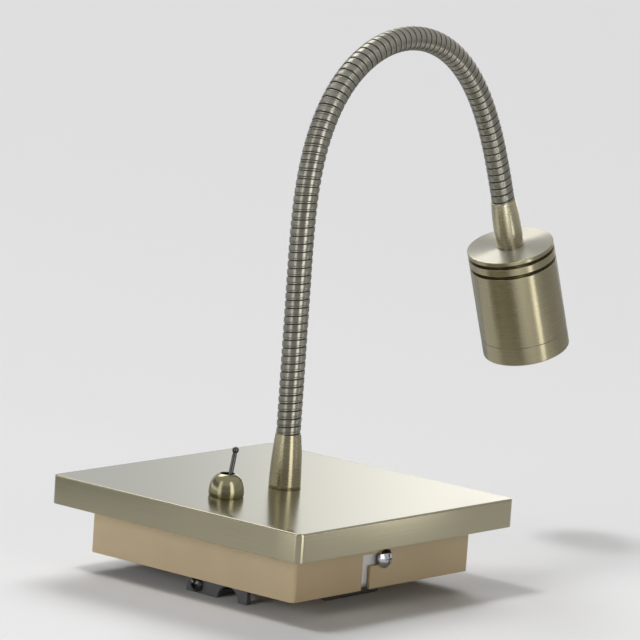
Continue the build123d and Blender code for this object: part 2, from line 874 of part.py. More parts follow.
with BuildPart() as driver_screws:
    for x, y in driver_screw_spots:
        ear_seat = Plane((x, y, web_under - ear_height), x_dir=(1, 0, 0), z_dir=(0, 0, -1))
        pan_screw(
            ear_seat,
            driver_screw_radius,
            ear_height + skirt_wall,
            driver_head_radius,
            driver_head_height,
        )
driver_screws.part.label = "driver_screws"
export_step(driver_screws.part, "parts/driver_screws.step")

# Terminal block: one clamp a way, with the screws reached from the wall side
block_under = web_under - block_height
way_pitch = block_length / block_ways
mouth_z = (web_under + block_under) / 2
with BuildPart() as terminal_block:
    with BuildSketch(Plane.XY.offset(block_under)):
        with Locations((block_x, block_y)):
            Rectangle(block_width, block_length)
    extrude(amount=block_height)
    with BuildSketch(Plane.XY.offset(block_under)):
        with Locations((block_x, block_y)):
            with GridLocations(block_width / 2, way_pitch, 2, block_ways):
                Circle(block_screw_radius + thread_play)
    extrude(amount=block_screw_depth, mode=Mode.SUBTRACT)
    for side in (1, -1):
        with BuildSketch(Plane.YZ.offset(block_x + side * block_width / 2)):
            with Locations((block_y, mouth_z)):
                with GridLocations(way_pitch, 0, block_ways, 1):
                    Circle(block_mouth_radius)
        extrude(amount=-side * block_mouth_depth, mode=Mode.SUBTRACT)
terminal_block.part.label = "terminal_block"
export_step(terminal_block.part, "parts/terminal_block.step")

with BuildPart() as terminal_screws:
    with BuildSketch(Plane.XY.offset(block_under + block_screw_sink)):
        with Locations((block_x, block_y)):
            with GridLocations(block_width / 2, way_pitch, 2, block_ways):
                Circle(block_screw_radius)
    extrude(amount=block_screw_depth - block_screw_sink)
    with BuildSketch(Plane.XY.offset(block_under + block_screw_sink)):
        with Locations((block_x, block_y)):
            with GridLocations(block_width / 2, way_pitch, 2, block_ways):
                Rectangle(2 * block_screw_radius, recess_width / 2)
    extrude(amount=recess_width, mode=Mode.SUBTRACT)
terminal_screws.part.label = "terminal_screws"
export_step(terminal_screws.part, "parts/terminal_screws.step")

# Leads in the base: block to switch, switch to driver, block to driver, and driver to neck
driver_face = driver_x - driver_width / 2
driver_inlet = web_under - driver_height / 2
block_face = block_x + block_width / 2
mouth_end = block_face - block_mouth_depth / 2
side_blade_x = switch_x + blade_pitch
lead_low = blade_foot - lead_drop
live_way = block_y - way_pitch
neutral_way = block_y + way_pitch
lead_routes = [
    [
        (mouth_end, live_way, mouth_z),
        (block_face + lead_out, live_way, mouth_z),
        (block_face + lead_out, lead_swing, lead_low),
        (side_blade_x, 0, lead_low),
        (side_blade_x, 0, blade_foot),
    ],
    [
        (switch_x, 0, blade_foot),
        (switch_x, 0, lead_low),
        (switch_x + lead_swing, live_side, lead_low),
        (driver_face - lead_tail - lead_out, live_side, lead_low),
        (driver_face - lead_tail, live_side, driver_inlet),
        (driver_face, live_side, driver_inlet),
    ],
    [
        (mouth_end, neutral_way, mouth_z),
        (block_face + 2 * lead_out, neutral_way, mouth_z),
        (driver_face - lead_tail - lead_out, neutral_side, driver_inlet),
        (driver_face, neutral_side, driver_inlet),
    ],
]
with BuildPart() as base_leads:
    for route in lead_routes:
        with BuildLine() as lead_run:
            FilletPolyline(*route, radius=lead_bend)
        with BuildSketch(Plane(lead_run.line @ 0, z_dir=lead_run.line % 0)):
            Circle(lead_radius)
        sweep(path=lead_run.line)
    with BuildLine() as cable_run:
        FilletPolyline(
            (driver_face, 0, spigot_under - cable_drop),
            (0, 0, spigot_under - cable_drop),
            (0, 0, spigot_under + cable_entry),
            radius=cable_bend,
        )
    with BuildSketch(Plane(cable_run.line @ 0, z_dir=cable_run.line % 0)):
        Circle(cable_radius)
    sweep(path=cable_run.line)
base_leads.part.label = "base_leads"
export_step(base_leads.part, "parts/base_leads.step")
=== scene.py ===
# %% [markdown]
# # A wall light with a flexible neck
# The light lies on its back: a brushed square plate over a smaller skirt, a toggle switch, and a
# wound neck that arches over to a cylindrical spot head. The construction comes from the packed
# CAD model, and this lesson gives every piece its looks.

import bmesh
import bpy
import numpy as np
from mathutils import Matrix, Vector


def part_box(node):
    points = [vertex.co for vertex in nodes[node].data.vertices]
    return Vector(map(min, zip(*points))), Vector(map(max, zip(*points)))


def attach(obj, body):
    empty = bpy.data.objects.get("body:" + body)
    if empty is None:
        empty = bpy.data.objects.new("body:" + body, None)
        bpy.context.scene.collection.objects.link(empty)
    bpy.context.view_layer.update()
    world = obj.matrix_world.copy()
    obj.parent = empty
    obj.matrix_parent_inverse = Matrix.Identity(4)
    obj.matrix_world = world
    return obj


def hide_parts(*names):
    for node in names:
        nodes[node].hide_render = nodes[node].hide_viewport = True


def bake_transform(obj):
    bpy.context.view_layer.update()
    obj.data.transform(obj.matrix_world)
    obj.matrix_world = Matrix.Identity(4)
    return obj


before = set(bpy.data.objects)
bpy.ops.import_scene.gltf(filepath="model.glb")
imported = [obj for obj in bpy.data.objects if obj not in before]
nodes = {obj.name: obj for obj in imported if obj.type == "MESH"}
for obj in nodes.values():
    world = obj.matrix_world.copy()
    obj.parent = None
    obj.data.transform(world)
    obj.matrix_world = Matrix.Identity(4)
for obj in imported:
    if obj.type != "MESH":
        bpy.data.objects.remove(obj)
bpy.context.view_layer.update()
mm = 0.001

# %% [markdown]
# ## Camera
# The photograph was taken with a long lens from a little above the plate, so the plate's edges stay
# nearly parallel. A camera could be turned by its three rotation values. Here its axes are worked out
# as vectors, because the lamps and cards further on are placed by angles from the same vectors.

# %% Camera
camera_aim = np.array([-0.40, -12.8, 107.5]) * mm
camera_distance = 1787 * mm
azimuth, elevation, roll = np.radians([-49.83, 9.09, 3.96])
sensor_width = 36.0
focal_share = 7.031
overhead = np.array([0, 0, 1.0])


def in_scene(name, data):
    """A new object that holds the data, put into the scene."""
    thing = bpy.data.objects.new(name, data)
    bpy.context.scene.collection.objects.link(thing)
    return thing


def placed(side, above, back, spot):
    """The place of an object at a spot, whose X, Y and Z axes have these directions."""
    place = np.eye(4)
    place[:3, :3] = np.stack([side, above, back], 1)
    place[:3, 3] = spot
    return Matrix(place.tolist())


level = np.array([np.cos(azimuth), np.sin(azimuth), 0])
ahead = np.array([-np.sin(azimuth), np.cos(azimuth), 0])
backward = overhead * np.sin(elevation) - ahead * np.cos(elevation)
rightward = level * np.cos(roll) + np.cross(backward, level) * np.sin(roll)
camera_spot = camera_aim + backward * camera_distance

camera = in_scene("camera", bpy.data.cameras.new("camera"))
camera.data.sensor_width = sensor_width
camera.data.lens = sensor_width * focal_share
camera.matrix_world = placed(rightward, np.cross(backward, rightward), backward, camera_spot)
bpy.context.scene.camera = camera
bpy.context.scene.view_settings.view_transform = "Standard"
print("camera at", np.round(camera_spot, 3))

# %% [markdown]
# ## Tools for surfaces
# The pieces that show were turned on a lathe, pressed from sheet or wound from wire. They could be
# put together from primitives and modifiers. Here each is a grid of points, with rows along the piece
# and columns around it, because one helper then gives every grid a UV map in metres, U around and V
# along, and a brushed finish can follow the surface.

# %% Grids into meshes
weld_distance = 0.0001 * mm


def grid_quads(rows, columns, closed=True):
    """Corner numbers of the quads of a grid, whose last column joins its first where it is closed."""
    row, column = np.meshgrid(np.arange(rows - 1), np.arange(columns - (not closed)), indexing="ij")
    beside = (column + 1) % columns
    low, high = row * columns, (row + 1) * columns
    return np.stack([low + column, low + beside, high + beside, high + column], -1).reshape(-1, 4)


def grid_uv(u, v):
    """UV of each quad's corners, from U at the columns (with one more to close) and V at the rows."""
    left, low = np.meshgrid(u[:-1], v[:-1])
    right, high = np.meshgrid(u[1:], v[1:])
    return np.stack([left, low, right, low, right, high, left, high], -1).reshape(-1, 2)


def way_along(points, closed=False):
    """How far it is along a line of points to each of them, and on to the first where it is closed."""
    line = np.concatenate([points, points[:1]]) if closed else points
    return np.concatenate([[0], np.cumsum(np.linalg.norm(np.diff(line, axis=0), axis=1))])


def make_piece(name, points, faces, uv, material, sharp=40.0):
    """A smooth mesh object at the origin from points, faces and the UV of every face corner. An edge
    where the surface turns by more than the sharp angle stays crisp."""
    mesh = bpy.data.meshes.new(name)
    mesh.from_pydata(points.reshape(-1, 3), [], faces)
    mesh.uv_layers.new(name="UVMap").data.foreach_set("uv", np.asarray(uv, np.float32).ravel())
    welded = bmesh.new()
    welded.from_mesh(mesh)
    bmesh.ops.remove_doubles(welded, verts=welded.verts, dist=weld_distance)
    welded.to_mesh(mesh)
    welded.free()
    mesh.shade_smooth()
    mesh.set_sharp_from_angle(angle=np.radians(sharp))
    mesh.materials.append(material)
    piece = in_scene(name, mesh)
    print(name, "faces:", len(mesh.polygons))
    return piece


print("a grid of 3 rows and 4 columns closes into", len(grid_quads(3, 4)), "quads")

# %% Profiles and the lathe
guard_reach = 1.2
broken_edge, small_edge = 0.1 * mm, 0.15 * mm


def soften(corners, radii, steps=5):
    """Round the corners of an open polyline: each corner becomes a quadratic curve between points at
    its radius along both edges, with a guard point just before and after it."""
    corners, radii = np.asarray(corners, float), np.asarray(radii, float)[1:-1, None]
    middle = corners[1:-1]
    into = corners[:-2] - middle
    out = corners[2:] - middle
    into /= np.linalg.norm(into, axis=1, keepdims=True)
    out /= np.linalg.norm(out, axis=1, keepdims=True)
    share = np.linspace(0, 1, steps)[None, :, None]
    start, end = (middle + into * radii)[:, None], (middle + out * radii)[:, None]
    curve = (1 - share) ** 2 * start + 2 * share * (1 - share) * middle[:, None] + share**2 * end
    before, after = middle + into * radii * guard_reach, middle + out * radii * guard_reach
    rounded = np.concatenate([before[:, None], curve, after[:, None]], 1).reshape(-1, 2)
    return np.concatenate([corners[:1], rounded, corners[-1:]])


def lathe(name, profile, seat, material, spokes=96):
    """Turn a (radius, height) profile about the seat's axis: the point at angle a is
    origin + radius * (cos a * across + sin a * beside) + height * axis. Sizes are in metres."""
    origin, across, beside, axis = seat
    profile = np.asarray(profile, float)
    angle = np.linspace(0, 2 * np.pi, spokes + 1)
    radius, height = profile[:, 0, None, None], profile[:, 1, None, None]
    ring = np.cos(angle[:-1])[:, None] * across + np.sin(angle[:-1])[:, None] * beside
    points = origin + radius * ring[None] + height * axis
    uv = grid_uv(angle * profile[:, 0].max(), way_along(profile))
    return make_piece(name, points, grid_quads(len(profile), spokes).tolist(), uv, material)


print("a softened corner has", len(soften([[0, 0], [1, 0], [1, 1]], [0, 0.1, 0])) - 2, "points")

# %% [markdown]
# ## Finishes
# Nearly every metal that shows is brushed or turned, and the fine lines that this leaves spread the
# light across them. The lines could be modelled or painted. Here the Principled shader's anisotropy
# spreads the light, with its tangent from the UV map, and a noise stretched along the lines varies
# colour, roughness and bump, because that holds up at any distance.

# %% Tools for finishes
def finish(name, **sockets):
    """A material with one Principled shader whose sockets are set directly."""
    material = bpy.data.materials.new(name)
    material.use_nodes = True
    shader = material.node_tree.nodes["Principled BSDF"]
    for socket, value in sockets.items():
        shader.inputs[socket.replace("_", " ")].default_value = value
    return material


def add(owner, kind, **sockets):
    """Add a node to a material or world, with each named socket set to a value or linked from another."""
    new = owner.node_tree.nodes.new(kind)
    for socket, value in sockets.items():
        target = new.inputs[socket.replace("_", " ")]
        if isinstance(value, bpy.types.NodeSocket):
            owner.node_tree.links.new(value, target)
        else:
            target.default_value = value
    return new


def feed(material, socket, value):
    """Link a socket into the material's shader."""
    material.node_tree.links.new(value, material.node_tree.nodes["Principled BSDF"].inputs[socket])


def lines(material, coordinate, stretch):
    """Noise on a coordinate stretched by a factor a metre along each axis: its value from 0 to 1."""
    source = add(material, "ShaderNodeTexCoord").outputs[coordinate]
    stretched = add(material, "ShaderNodeMapping", Vector=source, Scale=stretch).outputs["Vector"]
    return add(material, "ShaderNodeTexNoise", Vector=stretched, Scale=1.0, Detail=4.0).outputs["Fac"]


def ramp(material, value, low, high, dark, pale):
    """Colours between dark and pale as the value goes from low to high."""
    new = add(material, "ShaderNodeValToRGB", Fac=value)
    first, last = new.color_ramp.elements
    first.position, last.position = low, high
    first.color, last.color = (*dark, 1), (*pale, 1)
    return new.outputs["Color"]


def spread(material, value, low, high):
    """The value from 0 to 1 spread over low to high."""
    return add(material, "ShaderNodeMapRange", Value=value, To_Min=low, To_Max=high).outputs["Result"]


print("tools for finishes:", [tool.__name__ for tool in (finish, add, feed, lines, ramp, spread)])

# %% Brushed and turned brass
noise_low, noise_high = 0.3, 0.7
quarter_turn = 0.25
line_depth = 0.1 * mm
sheet_lines, turned_lines, wire_lines = (25, 2500, 1), (20, 4000, 1), (30, 3000, 1)


def brushed(name, dark, pale, roughness, stretch, anisotropy, bump=0.02):
    """Metal with fine lines along U: colour, roughness and bump follow one stretched noise."""
    material = finish(name, Metallic=1.0, Anisotropic=anisotropy, Anisotropic_Rotation=quarter_turn)
    grain = lines(material, "UV", stretch)
    feed(material, "Base Color", ramp(material, grain, noise_low, noise_high, dark, pale))
    feed(material, "Roughness", spread(material, grain, *roughness))
    relief = add(material, "ShaderNodeBump", Height=grain, Strength=bump, Distance=line_depth)
    feed(material, "Normal", relief.outputs["Normal"])
    tangent = add(material, "ShaderNodeTangent")
    tangent.direction_type = "UV_MAP"
    feed(material, "Tangent", tangent.outputs["Tangent"])
    return material


plate_brass = brushed(
    "plate_brass", (0.298, 0.276, 0.191), (0.343, 0.316, 0.222), (0.16, 0.21), sheet_lines, 0.6
)
turned_brass = brushed(
    "turned_brass", (0.32, 0.29, 0.19), (0.355, 0.32, 0.21), (0.25, 0.29), turned_lines, 0.7, 0.008
)
# Painted light: the head's ferrule takes a lighter copy of the turned brass, brighter than the same brass on
# the plate's ferrule.
turned_brass_painted_light = brushed(
    "turned_brass_painted_light", (0.45, 0.41, 0.285), (0.49, 0.45, 0.315), (0.25, 0.29), turned_lines, 0.6, 0.008
)
# The head's faced top: its rougher, radial turning is real, and its paler, greyer colour than the sides is
# painted reflection.
faced_brass_painted_reflection = brushed(
    "faced_brass_painted_reflection", (0.36, 0.345, 0.29), (0.42, 0.405, 0.345), (0.37, 0.45), turned_lines, 0.95
)
dome_brass = brushed(
    "dome_brass", (0.228, 0.212, 0.128), (0.268, 0.25, 0.154), (0.15, 0.20), turned_lines, 0.3
)
neck_brass = brushed(
    "neck_brass", (0.25, 0.24, 0.20), (0.31, 0.30, 0.25), (0.28, 0.34), wire_lines, 0.85
)
print("materials with the brass ones:", len(bpy.data.materials))

# %% [markdown]
# ## Paint, plating and plastic
# The skirt is tan paint, the small hardware is plated, and the parts inside are plastic, glass and
# rubber. Each could be one flat colour, but real coatings drift a little from place to place. A soft
# noise on Object coordinates gives that drift without a UV map, so it also suits the CAD meshes.

# %% Finishes without a grain
def mottled(name, patch_scale, dark, pale, roughness, **sockets):
    """A finish whose colour and roughness drift over a soft noise on Object coordinates."""
    material = finish(name, **sockets)
    patches = lines(material, "Object", (patch_scale,) * 3)
    feed(material, "Base Color", ramp(material, patches, noise_low, noise_high, dark, pale))
    feed(material, "Roughness", spread(material, patches, *roughness))
    return material


def shaded_near_wall(name, patch_scale, shaded_colour, clean, roughness, heights, **sockets):
    """A plating with painted shade near the wall: its colour follows Object Z from the shaded colour low
    down to the clean one higher up, between two heights, and its roughness drifts over a soft noise."""
    material = finish(name, **sockets)
    spot = add(material, "ShaderNodeTexCoord").outputs["Object"]
    height = add(material, "ShaderNodeSeparateXYZ", Vector=spot).outputs["Z"]
    share = add(material, "ShaderNodeMapRange", Value=height, From_Min=heights[0], From_Max=heights[1])
    feed(material, "Base Color", ramp(material, share.outputs["Result"], 0, 1, shaded_colour, clean))
    patches = lines(material, "Object", (patch_scale,) * 3)
    feed(material, "Roughness", spread(material, patches, *roughness))
    return material


# Painted shade: the wire's faces low in the grooves are near-black, so the gaps between the bands stay dark.
groove_painted_shade = mottled("groove_painted_shade", 400, (0.012, 0.012, 0.010), (0.025, 0.024, 0.02), (0.5, 0.65))
skirt_tan = mottled(
    "skirt_tan", 60, (0.47, 0.37, 0.225), (0.50, 0.395, 0.245), (0.30, 0.38), Specular_IOR_Level=0.4
)
# Painted shade: the bracket's strap and feet under the skirt go dark below the skirt's back edge, and its
# flanges keep the zinc colour.
painted_shade_fade = (6 * mm, 10 * mm)
dull_zinc_painted_shade = shaded_near_wall(
    "dull_zinc_painted_shade", 250, (0.10, 0.10, 0.105), (0.66, 0.66, 0.68), (0.42, 0.55), painted_shade_fade, Metallic=0.35
)
# Painted shade: a near-black nickel for the lever, which mirrors dark surroundings, and for the earth screw
# in the shadow under the skirt.
nickel = mottled("nickel", 150, (0.07, 0.07, 0.068), (0.10, 0.10, 0.095), (0.12, 0.2), Metallic=1.0)
chrome = mottled("chrome", 150, (0.52, 0.52, 0.53), (0.60, 0.60, 0.61), (0.08, 0.14), Metallic=1.0)
zinc = mottled("zinc", 250, (0.56, 0.57, 0.59), (0.70, 0.71, 0.72), (0.30, 0.45), Metallic=1.0)
contact_brass = mottled(
    "contact_brass", 300, (0.62, 0.52, 0.30), (0.72, 0.62, 0.38), (0.2, 0.3), Metallic=1.0
)
machined_aluminium = mottled(
    "machined_aluminium", 300, (0.66, 0.66, 0.67), (0.76, 0.76, 0.77), (0.28, 0.4), Metallic=1.0
)
phenolic = mottled("phenolic", 400, (0.020, 0.020, 0.022), (0.035, 0.033, 0.033), (0.35, 0.5))
solder_mask = mottled("solder_mask", 300, (0.78, 0.79, 0.77), (0.84, 0.85, 0.83), (0.3, 0.4))
phosphor = mottled("phosphor", 600, (0.78, 0.60, 0.12), (0.85, 0.70, 0.20), (0.15, 0.25))
rubber_black = mottled("rubber_black", 500, (0.02, 0.02, 0.02), (0.04, 0.04, 0.04), (0.6, 0.75))
case_white = mottled("case_white", 200, (0.74, 0.74, 0.71), (0.80, 0.80, 0.77), (0.45, 0.55))
insulation_red = mottled("insulation_red", 300, (0.38, 0.10, 0.06), (0.44, 0.13, 0.08), (0.4, 0.5))
glass_sockets = {"Transmission_Weight": 1.0, "IOR": 1.49}
lens_glass = mottled(
    "lens_glass", 200, (0.94, 0.96, 0.96), (0.97, 0.98, 0.98), (0.02, 0.05), **glass_sockets
)
print("materials with all finishes:", len(bpy.data.materials))

# %% [markdown]
# ## Room
# The photograph's ground runs pale and seamless into its background. A curved backdrop would do that
# too, but a wide floor at the wall plane, under a world that is as pale where the camera, a mirror or
# glass sees it, looks the same from every side. A high lamp on the left throws the head's shadow to
# the right, a wide one far behind throws the base's shadow forwards, and two tall ones light the sides.

# %% Floor
floor_reach, floor_drop = 12.0, 0.1 * mm
square = np.array([[-1, -1, 0], [1, -1, 0], [1, 1, 0], [-1, 1, 0]])
one_face = [[0, 1, 2, 3]]
floor_pale = finish("floor_pale", Base_Color=(0.80, 0.80, 0.81, 1), Roughness=0.9, Specular_IOR_Level=0.0)
floor_mesh = bpy.data.meshes.new("floor")
floor_mesh.from_pydata(square * floor_reach - overhead * floor_drop, [], one_face)
floor_mesh.materials.append(floor_pale)
floor = in_scene("floor", floor_mesh)
print("floor reaches", floor_reach, "m each way")

# %% Background
world = bpy.data.worlds.new("room")
bpy.context.scene.world = world
world.use_nodes = True
room = world.node_tree
room.nodes.clear()
seen = add(world, "ShaderNodeBackground", Color=(0.78, 0.78, 0.79, 1))
ambient = add(world, "ShaderNodeBackground", Color=(1, 1, 1, 1), Strength=0.14)
ray = add(world, "ShaderNodeLightPath").outputs


def either(first, second):
    """The larger of two sockets' values, which is 1 where one of two kinds of ray is meant."""
    larger = add(world, "ShaderNodeMath")
    larger.operation = "MAXIMUM"
    room.links.new(first, larger.inputs[0])
    room.links.new(second, larger.inputs[1])
    return larger.outputs["Value"]


shown = either(either(ray["Is Camera Ray"], ray["Is Glossy Ray"]), ray["Is Transmission Ray"])
choose = add(world, "ShaderNodeMixShader", Fac=shown)
room.links.new(ambient.outputs["Background"], choose.inputs[1])
room.links.new(seen.outputs["Background"], choose.inputs[2])
add(world, "ShaderNodeOutputWorld", Surface=choose.outputs["Shader"])
print("background nodes:", len(room.nodes))

# %% Lamps
def facing(spot, target):
    """The place of an object at a spot whose -Z axis points at the target, with its Y axis upwards."""
    back = np.asarray(spot, float) - target
    back /= np.linalg.norm(back)
    side = np.cross(overhead, back)
    side /= np.linalg.norm(side)
    return placed(side, np.cross(back, side), back, spot)


def round_camera(turn, lift, distance):
    """A spot at an angle round the object from the camera and above the floor, in degrees."""
    around, lift = azimuth + np.radians(turn), np.radians(lift)
    flat = np.array([np.sin(around), -np.cos(around), 0])
    return camera_aim + distance * (flat * np.cos(lift) + overhead * np.sin(lift))


def soft_lamp(name, turn, lift, distance, width, height, power, colour=(1, 1, 1)):
    """A rectangular area lamp that faces the object, and that no mirror shows."""
    lamp = bpy.data.lights.new(name, "AREA")
    lamp.shape, lamp.size, lamp.size_y = "RECTANGLE", width, height
    lamp.energy, lamp.color = power, colour
    holder = in_scene(name, lamp)
    holder.matrix_world = facing(round_camera(turn, lift, distance), camera_aim)
    holder.visible_camera = holder.visible_glossy = False


warm = (1.0, 0.88, 0.64)
soft_lamp("lamp_front", turn=-84, lift=69, distance=8.0, width=1.5, height=1.5, power=200)
soft_lamp("lamp_window", turn=175, lift=39, distance=30.0, width=16.0, height=12.0, power=6750)
soft_lamp("lamp_left", turn=-40, lift=9, distance=1.6, width=0.4, height=0.9, power=11.3)
soft_lamp("lamp_right", turn=45, lift=9, distance=1.6, width=0.4, height=0.9, power=5.0, colour=warm)
print("lamps:", len(bpy.data.lights))

# %% [markdown]
# ## Reflection cards
# Metal shows whatever stands round it, and a photographer sets white and black cards round a shiny
# thing. The lamps could do this, but then they would light the floor as well. These cards are seen by
# reflections alone: two bright strips draw the lines down every round piece, and grey mats and walls
# keep the metal between the lines deep. A sheet behind whitens an end of the plate, a high card behind
# lights the head's top, and a slip on the floor brightens one side of the plate.

# %% Tools for cards
arc_steps = 33


def card(name, mesh, glow, fade=None):
    """A stage object that only shiny surfaces see. It glows in one colour, or fades between two
    colours from one position to another along its own X axis."""
    material = bpy.data.materials.new(name)
    material.use_nodes = True
    tree = material.node_tree
    tree.nodes.remove(tree.nodes["Principled BSDF"])
    light = add(material, "ShaderNodeEmission", Strength=1.0)
    tree.links.new(light.outputs["Emission"], tree.nodes["Material Output"].inputs["Surface"])
    if fade is None:
        light.inputs["Color"].default_value = (*glow, 1)
    else:
        spot = add(material, "ShaderNodeTexCoord").outputs["Object"]
        across = add(material, "ShaderNodeSeparateXYZ", Vector=spot).outputs["X"]
        share = add(material, "ShaderNodeMapRange", Value=across, From_Min=fade[0], From_Max=fade[1])
        share.interpolation_type = "SMOOTHSTEP"
        tree.links.new(ramp(material, share.outputs["Result"], 0, 1, *glow), light.inputs["Color"])
    mesh.materials.append(material)
    piece = in_scene(name, mesh)
    piece.visible_camera = piece.visible_shadow = piece.visible_diffuse = False
    return piece


def arc_card(name, first, last, section, glow):
    """A card that runs round the object between two angles from the camera, in degrees: each
    (distance, height) of its section is carried round on a circle."""
    turn = azimuth + np.radians(np.linspace(first, last, arc_steps))
    section = np.asarray(section, float)
    spoke = np.stack([np.sin(turn), -np.cos(turn), 0 * turn], 1)
    points = section[:, :1, None] * spoke[None] + section[:, 1:, None] * overhead
    mesh = bpy.data.meshes.new(name)
    mesh.from_pydata(points.reshape(-1, 3), [], grid_quads(len(section), arc_steps, False).tolist())
    card(name, mesh, glow)


def flat_card(name, turn, lift, distance, width, height, glow, fade=None):
    """A rectangular card that faces the object."""
    mesh = bpy.data.meshes.new(name)
    mesh.from_pydata(square * [width / 2, height / 2, 0], [], one_face)
    card(name, mesh, glow, fade).matrix_world = facing(round_camera(turn, lift, distance), camera_aim)


def grey(shade):
    """A neutral colour."""
    return (shade, shade, shade)


print("an arc card has", arc_steps - 1, "steps")

# %% Mats, walls and strips
over_floor, mat_start, near_start, card_reach = 0.002, 0.42, 0.24, 2.4
low_top, wall_top, high_top = 0.4, 1.1, 1.4
# Each section lists the distance and the height of its points in metres.
mat = [[mat_start, over_floor], [card_reach, over_floor]]
near_mat = [[near_start, over_floor], [card_reach, over_floor]]
wall = [[card_reach, over_floor], [card_reach, wall_top]]
low_wall = [[card_reach, over_floor], [card_reach, low_top]]
high_wall = [[card_reach, low_top], [card_reach, high_top]]
strip = [[0.20, 0.003], [0.41, 0.06], [0.41, 0.45]]
arc_card("mat_front", -28, 30, mat, grey(0.18))
arc_card("mat_left", -72, -28, mat, grey(0.36))
arc_card("mat_far_left", -140, -72, near_mat, (0.35, 0.365, 0.38))
arc_card("mat_right", 30, 140, mat, grey(0.38))
arc_card("mat_behind", 140, 185, near_mat, grey(0.25))
arc_card("mat_behind_left", 185, 220, near_mat, (0.54, 0.56, 0.58))
arc_card("wall_left", -125, -56, low_wall, grey(1.7))
arc_card("wall_left_high", -125, -56, high_wall, grey(0.35))
arc_card("wall_front", -28, 30, wall, grey(0.40))
arc_card("wall_right", 30, 140, wall, grey(0.62))
arc_card("strip_left", -54, -34, strip, grey(1.9))
arc_card("strip_right", 24, 46, strip, grey(3.2))

# %% Flat cards
pale_to_white, fade_span = ((0.835, 0.87, 0.91), grey(2.05)), (0.12, -0.16)
flat_card(
    "sheet_behind", turn=180, lift=10, distance=0.8, width=1.2, height=0.30,
    glow=pale_to_white, fade=fade_span,
)
flat_card("card_high_behind", turn=-150, lift=53, distance=2.0, width=1.0, height=1.0, glow=grey(5.0))

slip_corner, slip_width, slip_length = np.array([[0.219, 0.0215], [0.028, -0.035], [0.112, 0.083]])
slip_height = 0.004
slip = slip_corner + np.array([0 * slip_width, slip_width, slip_width + slip_length, slip_length])
slip_mesh = bpy.data.meshes.new("card_floor")
slip_points = slip @ np.stack([level, -ahead]) + overhead * slip_height
slip_mesh.from_pydata(slip_points, [], one_face)
card("card_floor", slip_mesh, grey(5.0))
print("floor card's middle:", np.round(slip_points.mean(0), 3))

# %% [markdown]
# ## The neck's curve
# The neck rises straight out of its ferrule, bends over and straightens again before the head. A
# curve object could be drawn by hand over the links, but its length would be a guess. Here the
# curvature is given along the neck, rising, holding and falling, and summing it up twice gives the
# curve. It is the one that the CAD links follow, and every distance along it is a true length.

# %% The neck's curve
link_count, link_pitch = 23, 12.88 * mm
neck_straight, bend_in, bend_hold, bend_out = np.array([66.8, 71.0, 82.6, 74.4]) * mm
neck_turn = np.radians(160.0)
ferrule_height = 21.6 * mm
base_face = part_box("front_plate")[1].z
neck_foot = base_face + ferrule_height
neck_length = link_count * link_pitch
peak_bend = neck_turn / (bend_in / 2 + bend_hold + bend_out / 2)


def bend(along):
    """Curvature in radians a metre: it rises from 0, holds its peak and falls to 0 again."""
    into = np.clip((along - neck_straight) / bend_in, 0, 1)
    out = np.clip((along - neck_straight - bend_in - bend_hold) / bend_out, 0, 1)
    return peak_bend * (into - out)


def heading(along):
    """The turn from +Z towards +X in radians, which is the curvature summed up along the neck."""
    rise = np.clip(along - neck_straight, 0, bend_in)
    hold = np.clip(along - neck_straight - bend_in, 0, bend_hold)
    fall = np.clip(along - neck_straight - bend_in - bend_hold, 0, bend_out)
    return peak_bend * (rise**2 / (2 * bend_in) + hold + fall - fall**2 / (2 * bend_out))


fine_steps, fine_spare = 6000, 2 * mm
fine = np.linspace(-fine_spare, neck_length + fine_spare, fine_steps + 1)
fine_heading = heading(fine)
middle_heading = (fine_heading[1:] + fine_heading[:-1]) / 2
fine_x = np.concatenate([[0], np.cumsum(np.diff(fine) * np.sin(middle_heading))])
fine_z = np.concatenate([[0], np.cumsum(np.diff(fine) * np.cos(middle_heading))])
fine_x -= np.interp(0, fine, fine_x)
fine_z += neck_foot - np.interp(0, fine, fine_z)


def neck_point(along):
    """The neck's centre at a distance along it."""
    return np.stack([np.interp(along, fine, fine_x), 0 * along, np.interp(along, fine, fine_z)], -1)


def neck_seat(along):
    """Origin, inner side, sideways and forward directions of the neck at a distance along it."""
    along = np.asarray(along, float)
    turn = heading(along)
    inward = np.stack([np.cos(turn), 0 * turn, -np.sin(turn)], -1)
    forward = np.stack([np.sin(turn), 0 * turn, np.cos(turn)], -1)
    return neck_point(along), inward, np.array([0.0, 1.0, 0.0]), forward


neck_end = neck_seat(neck_length)

# %% [markdown]
# ## The winding
# A flexible neck is two wires wound together: a wide one makes the bands that show, and a narrow one
# lies in the gap between them on a foot that closes the gap. Where the neck bends, the gaps open on
# the outside and close on the inside, because each band keeps its width. A ring repeated by an Array
# modifier would show closed hoops, so each wire is a section carried along a helix on the curve. The
# winding is cut into one piece for each joint, from the middle of one link to the middle of the next.

# %% Sections of the two wires
turns_per_link, ring_steps = 4, 64
winding_pitch = link_pitch / turns_per_link
band_width, band_crown = 2.10 * mm, 4.95 * mm
band_across = np.array([-1.0, -1.0, -0.96, -0.86, -0.4, 0.0, 0.4, 0.9, 1.0, 1.0, 0.9, -0.9]) * band_width / 2
band_drop = np.array([0.60, 0.20, 0.06, 0.015, 0.005, 0.0, 0.005, 0.008, 0.010, 0.60, 1.1, 1.1]) * mm
band_out = band_crown - band_drop

wire_half = np.array([0.90, 0.90, 0.33, 0.33, 0.28, 0.15]) * mm
wire_rise = np.array([3.90, 4.45, 4.45, 4.68, 4.76, 4.79]) * mm
wire_crown, groove_top = 4.80 * mm, 4.60 * mm
wire_across = np.concatenate([-wire_half, [0], wire_half[::-1]])
wire_out = np.concatenate([wire_rise, [wire_crown], wire_rise[::-1]])
in_groove = np.minimum(wire_out, np.roll(wire_out, -1)) < groove_top

straight_shift, arch_shift = 0.20 * mm, -0.20 * mm
settled_heading = heading(neck_straight + bend_in)
print("points in the band:", len(band_across), "in the wire:", len(wire_across), "dark:", in_groove.sum())

# %% Wound strips
cap_count = 2


